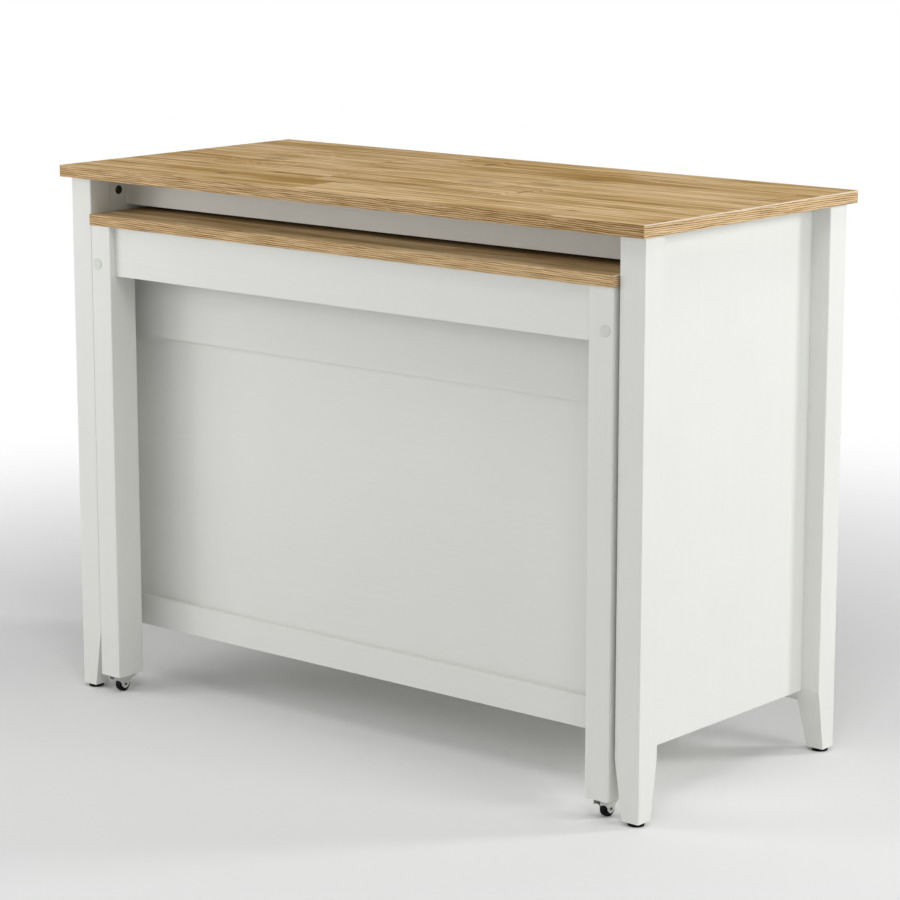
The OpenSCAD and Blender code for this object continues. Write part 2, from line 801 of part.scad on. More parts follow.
// Dowels of the leaf's frame
leaf_dowel_zs = ends(leaf_rail_z, leaf_under, 15);
batten_dowel_z = leaf_under - batten_h / 2;
apron_mid_y = (apron_front + apron_rear) / 2;
rear_rail_mid_y = rear_rail_front + leaf_rail_t / 2;
module leaf_dowel_set(slack = 0) {
    d = dowel_d + 2 * slack;
    l = dowel_l + 2 * slack;
    for (side = [LEFT, RIGHT]) on(side) {
        for (z = leaf_dowel_zs) {
            rod_x([leg_inner_x - dowel_l / 2 - slack, apron_mid_y, z], d, l);
            rod_x([rail_inner_x + dowel_bite - dowel_l - slack, rear_rail_mid_y, z], d, l);
        }
        rod_y([rail_mid_x, leg_rear - dowel_l / 2 - slack, leaf_dowel_zs[1]], d, l);
    }
    rod_y([0, apron_rear - dowel_bite - slack, batten_dowel_z], d, l);
    rod_y([0, rear_rail_front + dowel_bite - dowel_l - slack, batten_dowel_z], d, l);
}
module leaf_dowels() {
    color(beech) leaf_dowel_set();
}

// Bolts through the legs into barrel nuts in the side rails
bolt_z = leaf_rail_z + bolt_rise;
bolt_head_d = 13;
bolt_head_h = 4;
counterbore_depth = 8;
bolt_in_rail = 45;
barrel_setback = 30;
barrel_l = leaf_rail_t - 2;
module leg_bolts() {
    head_y = leg_front + counterbore_depth;
    color(zinc) for (side = [LEFT, RIGHT]) on(side) {
        difference() {
            rod_y([rail_mid_x, head_y - bolt_head_h, bolt_z], bolt_head_d, bolt_head_h);
            translate([rail_mid_x, head_y - bolt_head_h - past, bolt_z]) rotate([-90, 0, 0])
                cylinder(d = bolt_d, h = 2 + past, $fn = 6);
        }
        rod_y([rail_mid_x, head_y - past, bolt_z], bolt_d, leg_rear + bolt_in_rail - head_y + past);
    }
}
module leg_bolt_holes() {
    for (side = [LEFT, RIGHT]) on(side) {
        rod_y([rail_mid_x, leg_front - past, bolt_z], bolt_head_d + 2 * fit, counterbore_depth + past);
        rod_y([rail_mid_x, leg_front, bolt_z], bolt_d + 2 * fit, leaf_leg_d + bolt_in_rail + fit);
        rod_x([rail_inner_x - past, leg_rear + barrel_setback, bolt_z], barrel_d + 2 * fit,
            barrel_l + past + fit);
    }
}
module barrel_nuts() {
    color(zinc) for (side = [LEFT, RIGHT]) on(side) difference() {
        rod_x([rail_inner_x, leg_rear + barrel_setback, bolt_z], barrel_d, barrel_l);
        rod_y([rail_mid_x, leg_rear, bolt_z], bolt_d + 2 * fit, bolt_in_rail + past);
    }
}

// Push-in caps over the bolts' heads
module cover_caps() {
    stem_l = 3;
    stem_d = bolt_head_d - 2;
    color(paint) for (side = [LEFT, RIGHT]) on(side) {
        rod_y([rail_mid_x, leg_front - cap_t, bolt_z], cap_d, cap_t);
        rod_y([rail_mid_x, leg_front - cap_t / 2, bolt_z], stem_d, stem_l + cap_t / 2);
        rod_y([rail_mid_x, leg_front, bolt_z], bolt_head_d, stem_l / 2);
    }
}

module leaf_top() {
    color(oak) difference() {
        translate([-leaf_x, leaf_front, leaf_under])
            linear_extrude(leaf_t) round_rect(2 * leaf_x, leaf_rear - leaf_front, top_corner_r);
        leaf_bracket_pilots();
    }
}

module leaf_leg(side) {
    color(paint) difference() {
        on(side) translate([leg_inner_x, leg_front, caster_h])
            linear_extrude(leaf_under - caster_h) round_rect(leaf_leg_w, leaf_leg_d, edge_r);
        leaf_dowel_set(fit);
        leg_bolt_holes();
        at_caster_screws() pilot(caster_screw_l);
    }
}

module leaf_apron() {
    color(paint) difference() {
        block(-leg_inner_x, leg_inner_x, apron_front, apron_rear, leaf_rail_z, leaf_under);
        leaf_dowel_set(fit);
        leaf_bracket_pilots();
    }
}

module leaf_side_rail(side) {
    color(paint) difference() {
        on(side) block(rail_inner_x, rail_x, leg_rear, side_rail_rear, leaf_rail_z, leaf_under);
        leaf_dowel_set(fit);
        leg_bolt_holes();
        leaf_bracket_pilots();
        at_inner_screws() pilot();
    }
}

module leaf_rear_rail() {
    color(paint) difference() {
        block(-rail_inner_x, rail_inner_x, rear_rail_front, side_rail_rear, leaf_rail_z, leaf_under);
        leaf_dowel_set(fit);
        leaf_bracket_pilots();
    }
}

module leaf_batten() {
    color(paint) difference() {
        block(-leaf_rail_t / 2, leaf_rail_t / 2, apron_rear, rear_rail_front, leaf_under - batten_h,
            leaf_under);
        leaf_dowel_set(fit);
    }
}

// ---------- Casters ----------

caster_x = leg_x - leaf_leg_w / 2;
caster_y = leg_front + leaf_leg_d / 2;
wheel_r = wheel_d / 2;
cheek_in = wheel_w / 2 + cheek_gap;
cheek_out = cheek_in + plate_t;
caster_screw_l = 14;
caster_screw_out = plate_l / 2 - 7;

module at_caster(side) {
    translate([side * caster_x, caster_y, 0]) children();
}

// Outline of a cheek in Y and Z: the plate's length on top, two hollow curves, a round tip
module cheek_outline() {
    waist_z = caster_h - cheek_end_h - cheek_hollow_h;
    half = plate_l / 2;
    waist = half - cheek_hollow_l;
    steps = 8;
    hollow = [for (i = [0:steps]) let (a = 90 * i / steps)
        [half - cheek_hollow_l * sin(a), waist_z + cheek_hollow_h * cos(a)]];
    // The side runs from the waist down to the tip's circle, and touches it
    reach = norm([waist, waist_z - wheel_r]);
    touch = atan2(waist_z - wheel_r, waist) - acos(cheek_r / reach);
    tip = [for (i = [0:steps]) let (a = touch - (90 + touch) * i / steps)
        [cheek_r * cos(a), wheel_r + cheek_r * sin(a)]];
    side_line = concat([[half, caster_h]], hollow, tip);
    polygon(concat(side_line, [for (i = [len(side_line) - 2:-1:0]) [-side_line[i][0], side_line[i][1]]]));
}

module caster_bracket(side) {
    color(zinc) difference() {
        at_caster(side) {
            block(-cheek_out, cheek_out, -plate_l / 2, plate_l / 2, caster_h - plate_t, caster_h);
            along_x(-cheek_out, -cheek_in) cheek_outline();
            along_x(cheek_in, cheek_out) cheek_outline();
        }
        at_caster(side) rod_x([-cheek_out - past, 0, wheel_r], axle_d + 2 * fit, 2 * (cheek_out + past));
        at_caster_screws() pilot();
    }
}

module caster_axle(side) {
    rivet_h = 0.6;
    rivet_d = axle_d + 1;
    color(black) at_caster(side) {
        rod_x([-cheek_out - rivet_h / 2, 0, wheel_r], axle_d, 2 * cheek_out + rivet_h);
        for (turn = [0, 180]) rotate([0, 0, turn])
            rod_x([cheek_out, 0, wheel_r], rivet_d, rivet_h);
    }
}

module at_caster_screws() {
    for (side = [LEFT, RIGHT], y = [-caster_screw_out, caster_screw_out])
        at_caster(side) translate([0, y, caster_h - plate_t]) rotate([180, 0, 0]) children();
}
module caster_screws() {
    color(zinc) at_caster_screws() pan_screw();
}

// A solid wheel with rounded shoulders, a dished face and a hub
module caster_wheel(side) {
    shoulder = 2;
    dish = 1.2;
    hub_r = 5;
    color(black) at_caster(side) translate([0, 0, wheel_r]) rotate([0, 90, 0]) difference() {
        rotate_extrude($fn = 64) difference() {
            union() {
                translate([0, -wheel_w / 2 + shoulder]) square([wheel_r, wheel_w - 2 * shoulder]);
                translate([0, -wheel_w / 2]) square([wheel_r - shoulder, wheel_w]);
                for (v = [-1, 1]) translate([wheel_r - shoulder, v * (wheel_w / 2 - shoulder)])
                    circle(shoulder);
            }
            for (v = [-1, 1]) translate([hub_r, v > 0 ? wheel_w / 2 - dish : -wheel_w / 2 - past])
                square([wheel_r - 1.5 * shoulder - hub_r, dish + past]);
        }
        cylinder(d = axle_d + 2 * fit, h = wheel_w + 2 * past, center = true);
    }
}

// ---------- Assembly ----------

main_top();
post(LEFT, FRONT);  // post_front_left
post(RIGHT, FRONT);  // post_front_right
post(LEFT, REAR);  // post_rear_left
post(RIGHT, REAR);  // post_rear_right
side_panel(LEFT);  // side_panel_left
side_panel(RIGHT);  // side_panel_right
cross_rail();
closing_rail_upper();
closing_rail_lower();
closing_panel();
rear_fascia();
toe_rail();
deck();
bottom_board();
centre_divider();
shelf(LEFT);  // shelf_left
shelf(RIGHT);  // shelf_right
shelf_pins();
floor_glides();
cam_locks();
cam_bolts();
dowels();
top_brackets();
top_bracket_screws();
slide_outer(LEFT);  // slide_outer_left
slide_outer(RIGHT);  // slide_outer_right
slide_panel_screws();
slide_middle(LEFT);  // slide_middle_left
slide_middle(RIGHT);  // slide_middle_right
cage_outer(LEFT);  // cage_outer_left
cage_outer(RIGHT);  // cage_outer_right
cage_inner(LEFT);  // cage_inner_left
cage_inner(RIGHT);  // cage_inner_right
leaf_top();
leaf_leg(LEFT);  // leaf_leg_left
leaf_leg(RIGHT);  // leaf_leg_right
leaf_apron();
leaf_side_rail(LEFT);  // leaf_side_rail_left
leaf_side_rail(RIGHT);  // leaf_side_rail_right
leaf_rear_rail();
leaf_batten();
leaf_dowels();
leg_bolts();
barrel_nuts();
cover_caps();
leaf_brackets();
leaf_bracket_screws();
slide_inner(LEFT);  // slide_inner_left
slide_inner(RIGHT);  // slide_inner_right
slide_rail_screws();
caster_bracket(LEFT);  // caster_bracket_left
caster_bracket(RIGHT);  // caster_bracket_right
caster_axle(LEFT);  // caster_axle_left
caster_axle(RIGHT);  // caster_axle_right
caster_screws();
caster_wheel(LEFT);  // caster_wheel_left
caster_wheel(RIGHT);  // caster_wheel_right
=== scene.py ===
"""The looks of a cabinet table with a pull-out leaf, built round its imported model."""

import math

import bpy
from bpy.props import FloatProperty, FloatVectorProperty, PointerProperty
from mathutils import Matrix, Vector


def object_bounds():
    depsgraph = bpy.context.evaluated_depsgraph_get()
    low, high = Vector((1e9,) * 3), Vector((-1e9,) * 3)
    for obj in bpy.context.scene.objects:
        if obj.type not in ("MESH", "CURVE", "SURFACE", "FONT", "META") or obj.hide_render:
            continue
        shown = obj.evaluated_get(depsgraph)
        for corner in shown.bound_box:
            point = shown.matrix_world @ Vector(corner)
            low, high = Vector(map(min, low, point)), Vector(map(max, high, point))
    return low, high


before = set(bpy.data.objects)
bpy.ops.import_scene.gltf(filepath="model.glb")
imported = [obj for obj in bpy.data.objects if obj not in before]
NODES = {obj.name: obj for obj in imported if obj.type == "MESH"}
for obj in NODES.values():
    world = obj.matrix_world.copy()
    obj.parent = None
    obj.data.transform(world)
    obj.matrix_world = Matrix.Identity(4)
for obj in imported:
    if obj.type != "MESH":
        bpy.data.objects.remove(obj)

bl_info = {
    "name": "Cabinet table with pull-out leaf",
    "version": (1, 0, 0),
    "blender": (4, 5, 0),
    "location": "3D View > Sidebar > Table",
    "description": "Finishes, eased edges, lamps and camera for the cabinet table",
    "category": "Object",
}

TABLE_LOW, TABLE_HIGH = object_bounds()


def colour_of(red, green, blue):
    """A screen colour from 0 to 255 a channel as the linear colour that shaders use."""

    def linear(channel):
        value = channel / 255
        return value / 12.92 if value <= 0.04045 else ((value + 0.055) / 1.055) ** 2.4

    return (linear(red), linear(green), linear(blue), 1.0)


def colour_property(name, description, colour):
    return FloatVectorProperty(
        name=name,
        description=description,
        default=colour_of(*colour),
        size=4,
        min=0.0,
        max=1.0,
        subtype="COLOR",
    )


def length_property(name, description, length):
    return FloatProperty(
        name=name,
        description=description,
        default=length,
        min=0.0,
        unit="LENGTH",
        subtype="DISTANCE",
        precision=4,
    )


# ---------- What a user may change ----------


class TableFinish(bpy.types.PropertyGroup):
    """Colours and sizes of the table's finishes"""

    paint: colour_property("Paint", "Colour of the painted boards, posts and legs", (228, 229, 224))
    paint_relief: length_property("Paint relief", "Depth of the grain in the paint", 0.00004)
    oak_light: colour_property("Light oak", "Colour of the tops' palest grain", (237, 206, 157))
    oak_middle: colour_property("Middle oak", "Colour of most of the tops' grain", (208, 171, 112))
    oak_dark: colour_property("Dark oak", "Colour of the tops' darker grain", (168, 128, 54))
    oak_knot: colour_property("Oak knot", "Colour of the knots in the tops", (98, 58, 14))
    band_light: colour_property("Light rim grain", "Colour of the rims' pale lines", (230, 199, 155))
    band_dark: colour_property("Dark rim grain", "Colour of the rims' dark lines", (121, 85, 20))
    # Painted highlight: the colour laid along the upper edge of the rims at the tops' ends
    painted_rim_highlight: colour_property(
        "Painted rim highlight", "Colour of the painted highlight along the upper edge of a rim's ends", (232, 224, 210)
    )
    band_pitch: length_property("Rim line pitch", "Pitch of the lines in the rims", 0.0030)
    stave_width: length_property("Stave width", "Width of the tops' oak staves", 0.108)
    stave_length: length_property("Stave length", "Mean length of the tops' oak staves", 0.78)
    backing: colour_property("Backing", "Colour of the undersides of the tops", (206, 203, 196))
    zinc: colour_property("Zinc plating", "Colour of the zinc-plated steel", (208, 208, 203))
    dark_zinc: colour_property("Dark zinc", "Colour of the cam locks and caster axles", (52, 51, 50))
    rubber: colour_property("Black plastic", "Colour of the wheels and floor glides", (9, 9, 10))
    cap: colour_property("Cap plastic", "Colour of the cover caps", (214, 217, 209))
    beech: colour_property("Beech", "Colour of the dowels", (214, 187, 146))
    board_edge: length_property("Eased board edge", "Radius along the edges of boards", 0.0006)
    top_edge: length_property("Eased top edge", "Radius along the edges of the two tops", 0.0011)
    metal_edge: length_property("Eased metal edge", "Radius along the edges of steel parts", 0.0002)


class TableStage(bpy.types.PropertyGroup):
    """Camera, floor and the light from all round"""

    azimuth: FloatProperty(
        name="Azimuth",
        description="How far the camera stands round to the table's right",
        default=math.radians(40.22),
        subtype="ANGLE",
    )
    elevation: FloatProperty(
        name="Elevation",
        description="How far the camera looks down",
        default=math.radians(11.63),
        subtype="ANGLE",
    )
    distance: length_property("Camera distance", "From the camera to what it aims at", 4.9039)
    aim_right: length_property("Aim right", "How far right of the middle the camera aims", 0.0117)
    aim_height: length_property("Aim height", "Height above the floor of the camera's aim", 0.4501)
    lens: FloatProperty(
        name="Lens", description="Focal length of the camera", default=121.19, min=10, unit="CAMERA"
    )
    floor: colour_property("Floor", "Colour of the floor near the table", (246, 246, 245))
    ambient: colour_property("Ambient", "Colour of the light from all round", (252, 252, 255))
    ambient_strength: FloatProperty(
        name="Ambient strength",
        description="Strength of the light from all round",
        default=0.25,
        min=0,
    )


# ---------- Wiring of shader nodes ----------


class Wiring:
    """Adds shader nodes to one tree and joins their sockets"""

    def __init__(self, tree):
        self.tree = tree

    def feed(self, socket, value):
        """Joins a socket to another, or sets its own value."""
        if isinstance(value, bpy.types.NodeSocket):
            self.tree.links.new(value, socket)
        else:
            socket.default_value = value

    def node(self, kind, sockets=None, **settings):
        made = self.tree.nodes.new(kind)
        for name, value in settings.items():
            setattr(made, name, value)
        for name, value in (sockets or {}).items():
            self.feed(made.inputs[name], value)
        return made

    def math(self, operation, *values, clamp=False):
        made = self.node("ShaderNodeMath", operation=operation, use_clamp=clamp)
        for socket, value in zip(made.inputs, values):
            self.feed(socket, value)
        return made.outputs[0]

    def vector(self, operation, *values):
        made = self.node("ShaderNodeVectorMath", operation=operation)
        for socket, value in zip(made.inputs, values):
            self.feed(socket, value)
        return made.outputs["Value" if operation == "LENGTH" else "Vector"]

    def split(self, vector):
        return self.node("ShaderNodeSeparateXYZ", {"Vector": vector}).outputs

    def join(self, x, y, z):
        return self.node("ShaderNodeCombineXYZ", {"X": x, "Y": y, "Z": z}).outputs[0]

    def remap(self, value, low, high, to_low=0.0, to_high=1.0, smooth=False):
        made = self.node(
            "ShaderNodeMapRange",
            {
                "Value": value,
                "From Min": low,
                "From Max": high,
                "To Min": to_low,
                "To Max": to_high,
            },
            interpolation_type="SMOOTHSTEP" if smooth else "LINEAR",
        )
        return made.outputs["Result"]

    def noise(self, vector, scale, detail, roughness=0.5, distortion=0.0):
        made = self.node(
            "ShaderNodeTexNoise",
            {
                "Vector": vector,
                "Scale": scale,
                "Detail": detail,
                "Roughness": roughness,
                "Distortion": distortion,
            },
        )
        return made.outputs["Fac"]

    def mix(self, factor, first, second, blend="MIX"):
        made = self.node("ShaderNodeMix", data_type="RGBA", blend_type=blend)
        for index, value in ((0, factor), (6, first), (7, second)):
            self.feed(made.inputs[index], value)
        return made.outputs[2]

    def blend_value(self, factor, first, second):
        made = self.node("ShaderNodeMix", data_type="FLOAT")
        for index, value in ((0, factor), (2, first), (3, second)):
            self.feed(made.inputs[index], value)
        return made.outputs[0]

    def ramp(self, value, stops):
        made = self.node("ShaderNodeValToRGB", {"Fac": value})
        elements = made.color_ramp.elements
        while len(elements) < len(stops):
            elements.new(0.5)
        for element, (place, colour) in zip(elements, stops):
            element.position = place
            element.color = colour
        return made.outputs["Color"]

    def effect(self, group, **sockets):
        """Places a shared effect, its inputs named with _ for spaces."""
        made = self.node("ShaderNodeGroup", node_tree=group)
        for name, value in sockets.items():
            self.feed(made.inputs[name.replace("_", " ")], value)
        return made.outputs


def shared_effect(name, inputs, outputs, build):
    """A shader node group, built once: inputs and outputs are lists of (name, kind, default)."""
    if name in bpy.data.node_groups:
        return bpy.data.node_groups[name]
    tree = bpy.data.node_groups.new(name, "ShaderNodeTree")
    for label, kind, value in inputs:
        socket = tree.interface.new_socket(label, in_out="INPUT", socket_type="NodeSocket" + kind)
        socket.default_value = value
    for label, kind in outputs:
        tree.interface.new_socket(label, in_out="OUTPUT", socket_type="NodeSocket" + kind)
    wiring = Wiring(tree)
    given = tree.nodes.new("NodeGroupInput").outputs
    result = tree.nodes.new("NodeGroupOutput").inputs
    for label, value in build(wiring, given).items():
        wiring.feed(result[label], value)
    return tree


# ---------- Effects that several finishes share ----------


def wood_grain():
    """Streaks, cathedral figure and pores of wood whose grain runs along X, in metres."""

    def build(w, given):
        seed = w.math("MULTIPLY", given["Seed"], 3.17)
        place = w.vector("ADD", given["Vector"], w.join(seed, seed, seed))
        x, y, z = w.split(place)
        drift = w.math("SUBTRACT", w.noise(w.vector("MULTIPLY", place, (1.6, 7, 7)), 1.0, 2), 0.5)
        across = w.math("ADD", y, w.math("MULTIPLY", drift, given["Waviness"]))
        length, width = given["Streak Length"], given["Streak Width"]
        streak_at = w.join(
            w.math("DIVIDE", x, length), w.math("DIVIDE", across, width), w.math("DIVIDE", z, width)
        )
        streaks = w.noise(streak_at, 1.0, 5, 0.58, 0.25)
        figure = w.node(
            "ShaderNodeTexWave",
            {
                "Vector": w.join(
                    w.math("DIVIDE", x, w.math("MULTIPLY", length, 1.6)),
                    w.math("DIVIDE", across, w.math("MULTIPLY", width, 2.4)),
                    z,
                ),
                "Scale": 1.0,
                "Distortion": 7.0,
                "Detail": 3.0,
                "Detail Scale": 0.7,
                "Detail Roughness": 0.55,
            },
            wave_type="BANDS",
            bands_direction="Y",
        ).outputs["Fac"]
        pore_at = w.vector("MULTIPLY", w.join(x, across, z), (55, 1300, 1300))
        pores = w.remap(w.noise(pore_at, 1.0, 2, 0.6), 0.60, 0.72, smooth=True)
        return {"Streaks": streaks, "Figure": figure, "Pores": pores}

    return shared_effect(
        "Wood grain",
        [
            ("Vector", "Vector", (0, 0, 0)),
            ("Streak Length", "Float", 0.3),
            ("Streak Width", "Float", 0.008),
            ("Waviness", "Float", 0.01),
            ("Seed", "Float", 0.0),
        ],
        [("Streaks", "Float"), ("Figure", "Float"), ("Pores", "Float")],
        build,
    )


def wood_mark():
    """One dark mark in wood with a ragged edge, and how far it pushes the grain aside."""

    def build(w, given):
        beside = w.vector("SUBTRACT", given["Vector"], given["Place"])
        ragged = w.noise(w.vector("MULTIPLY", given["Vector"], (60, 170, 1)), 1.0, 3)
        halves = w.vector("DIVIDE", beside, given["Half"])
        far = w.vector("LENGTH", w.vector("MULTIPLY", halves, (1, 1, 0)))
        far = w.math("ADD", far, w.math("MULTIPLY", w.math("SUBTRACT", ragged, 0.5), 1.3))
        heart = w.remap(far, 0.25, 1.15, 1.0, 0.0, smooth=True)
        heart = w.math("MULTIPLY", heart, given["Strength"])
        halo = w.remap(far, 0.4, 3.2, 1.0, 0.0, smooth=True)
        push = w.math("MULTIPLY", w.split(beside)[1], halo)
        return {"Heart": heart, "Bend": w.math("MULTIPLY", push, -0.45)}

    return shared_effect(
        "Wood mark",
        [
            ("Vector", "Vector", (0, 0, 0)),
            ("Place", "Vector", (0, 0, 0)),
            ("Half", "Vector", (0.02, 0.01, 1)),
            ("Strength", "Float", 0.6),
        ],
        [("Heart", "Float"), ("Bend", "Float")],
        build,
    )


def handling():
    """Faint smudges and specks that break up a surface's gloss."""

    def build(w, given):
        cloud = w.noise(given["Vector"], given["Scale"], 3, 0.55)
        speck = w.noise(given["Vector"], w.math("MULTIPLY", given["Scale"], 60.0), 2, 0.6)
        return {
            "Smudge": w.remap(cloud, 0.3, 0.7, smooth=True),
            "Speck": w.remap(speck, 0.66, 0.74, smooth=True),
        }

    return shared_effect(
        "Handling",
        [("Vector", "Vector", (0, 0, 0)), ("Scale", "Float", 6.0)],
        [("Smudge", "Float"), ("Speck", "Float")],
        build,
    )


def brushed_streaks():
    """Fine scratches along X, in metres, and the mottle of a plated surface."""

    def build(w, given):
        scratch_at = w.vector("MULTIPLY", given["Vector"], (90, 4200, 4200))
        mottle = w.noise(given["Vector"], 420.0, 3, 0.6)
        return {
            "Scratches": w.noise(scratch_at, 1.0, 3, 0.6),
            "Mottle": w.remap(mottle, 0.35, 0.65, smooth=True),
        }

    return shared_effect(
        "Brushed streaks",
        [("Vector", "Vector", (0, 0, 0))],
        [("Scratches", "Float"), ("Mottle", "Float")],
        build,
    )


def moulded_texture():
    """The fine pebbling of moulded plastic."""

    def build(w, given):
        pebble = w.noise(given["Vector"], w.math("DIVIDE", 1.0, given["Pebble"]), 3, 0.6)
        return {"Height": pebble, "Sheen": w.remap(pebble, 0.35, 0.65)}

    return shared_effect(
        "Moulded texture",
        [("Vector", "Vector", (0, 0, 0)), ("Pebble", "Float", 0.0006)],
        [("Height", "Float"), ("Sheen", "Float")],
        build,
    )


# ---------- Finishes ----------


def finish_of(name, build):
    """A material, made once: build gets its wiring, its Principled shader and its place node."""
    if name in bpy.data.materials:
        return bpy.data.materials[name]
    material = bpy.data.materials.new(name)
    material.use_nodes = True
    tree = material.node_tree
    tree.nodes.clear()
    w = Wiring(tree)
    shader = w.node("ShaderNodeBsdfPrincipled")
    output = w.node("ShaderNodeOutputMaterial")
    tree.links.new(shader.outputs[0], output.inputs["Surface"])
    place = w.node("ShaderNodeTexCoord").outputs["Object"]
    build(w, shader, place)
    return material


GRAIN_ORDER = {"X": (0, 1, 2), "Y": (1, 0, 2), "Z": (2, 0, 1)}


def along_grain(w, place, axis):
    """The place with its first axis along the grain."""
    axes = w.split(place)
    return w.join(*(axes[index] for index in GRAIN_ORDER[axis]))


def bump(w, shader, height, distance):
    """Raises a surface by a height from 0 to 1 times a distance in metres."""
    made = w.node("ShaderNodeBump", {"Strength": 1.0, "Distance": distance, "Height": height})
    w.feed(shader.inputs["Normal"], made.outputs["Normal"])


def painted(finish, axis, seed):
    """White satin paint over a board, with the grain faintly raised along one axis."""

    def build(w, shader, place):
        at = along_grain(w, place, axis)
        grain = w.effect(
            wood_grain(),
            Vector=at,
            Streak_Length=0.35,
            Streak_Width=0.0045,
            Waviness=0.008,
            Seed=seed,
        )
        touch = w.effect(handling(), Vector=place, Scale=5.0)
        paint = tuple(finish.paint)
        shade = w.remap(grain["Streaks"], 0.3, 0.7, 0.990, 1.006)
        shade = w.math("MULTIPLY", shade, w.remap(touch["Smudge"], 0, 1, 0.992, 1.004))
        shade = w.math("SUBTRACT", shade, w.math("MULTIPLY", grain["Pores"], 0.012))
        tone = w.node("ShaderNodeCombineColor", {"Red": shade, "Green": shade, "Blue": shade})
        w.feed(shader.inputs["Base Color"], w.mix(1.0, paint, tone.outputs[0], "MULTIPLY"))
        smudged = w.remap(touch["Smudge"], 0, 1, 0.40, 0.50)
        gloss = w.math("ADD", smudged, w.math("MULTIPLY", touch["Speck"], 0.1))
        w.feed(shader.inputs["Roughness"], gloss)
        shader.inputs["IOR"].default_value = 1.45
        shader.inputs["Specular IOR Level"].default_value = 0.35
        height = w.math("SUBTRACT", grain["Streaks"], w.math("MULTIPLY", grain["Pores"], 0.6))
        bump(w, shader, height, finish.paint_relief)

    return finish_of(f"white_paint_grain_{axis}_{seed:g}", build)


MAIN_TOP_UPPER = 0.892  # heights of the tops' upper faces, in metres
LEAF_TOP_UPPER = 0.8145

# Shifts of the rim's tone, from dark to light, at its left, its right and its ends
MAIN_RIM_TONES = (0.05, -0.11, 0.12)
LEAF_RIM_TONES = (0.03, 0.18, 0.12)

RIM_SLANT = 0.02  # metres that a rim's lines climb in each metre along it
RIM_WANDER = 1.7  # pitches that a line wanders up or down
RIM_CONTRAST = (0.30, 0.40)  # how strong the lines are along a top and at its ends
END_SHIFT = 3.3  # metres that set the lines of the ends apart from those along a top
# Painted highlight: the rims at the ends are paled between these heights under the upper face
HIGHLIGHT_TOP, HIGHLIGHT_FOOT = 0.0011, 0.0019  # metres under the upper face, at the ends

STAVE_START = 0.175  # y in metres at which one row of staves begins
LEVEL_FACE = 0.90  # a face whose normal's z is over this is level
END_FACE = 0.6  # an edge whose normal's x is over this is at an end

# Marks on the tops: x and y of each in metres, half its length and width, and how dark it is
TOP_MARKS = [
    (-0.057, 0.183, 0.008, 0.022, 0.75),
    (-0.310, -0.187, 0.024, 0.008, 0.80),
    (-0.075, -0.162, 0.024, 0.008, 0.70),
    (0.223, -0.077, 0.006, 0.024, 0.65),
    (-0.250, -0.118, 0.012, 0.006, 0.65),
    (0.085, -0.010, 0.040, 0.022, 0.35),
    (0.195, 0.018, 0.036, 0.010, 0.45),
    (-0.395, 0.030, 0.036, 0.046, 0.32),
    (0.200, 0.125, 0.040, 0.022, 0.30),
    (0.418, -0.205, 0.020, 0.006, 0.55),
    (-0.020, -0.113, 0.240, 0.011, 0.30),
]
LEAF_MARKS = [
    (-0.210, -0.258, 0.016, 0.005, 0.55),
    (-0.120, -0.120, 0.026, 0.009, 0.70),
    (0.310, 0.040, 0.022, 0.008, 0.65),
    (0.020, 0.150, 0.010, 0.022, 0.60),
]


def stave_joints(w, x, y, finish, seed):
    """A chance for each stave, and how near its edge is: rows across, cut to length by chance.

    The odd factors only spread the chances."""
    rows = w.math("DIVIDE", w.math("SUBTRACT", y, STAVE_START), finish.stave_width)
    across = w.math("ADD", rows, seed * 3.4)
    row = w.math("FLOOR", across)
    row_chance = w.node(
        "ShaderNodeTexWhiteNoise", {"W": w.math("ADD", row, 11.3 + seed)}, noise_dimensions="1D"
    ).outputs["Value"]
    lengths = w.math("DIVIDE", x, finish.stave_length)
    along = w.math("ADD", lengths, w.math("MULTIPLY", row_chance, 9.0))
    chance = w.node(
        "ShaderNodeTexWhiteNoise",
        {"Vector": w.join(row, w.math("FLOOR", along), seed)},
        noise_dimensions="3D",
    ).outputs["Value"]
    side = w.math("MULTIPLY", w.math("PINGPONG", across, 0.5), finish.stave_width)
    end = w.math("MULTIPLY", w.math("PINGPONG", along, 0.5), finish.stave_length)
    seam = w.remap(side, 0.0, 0.003, 1.0, 0.0, smooth=True)
    butt = w.remap(end, 0.0, 0.004, 1.0, 0.0, smooth=True)
    return chance, seam, butt


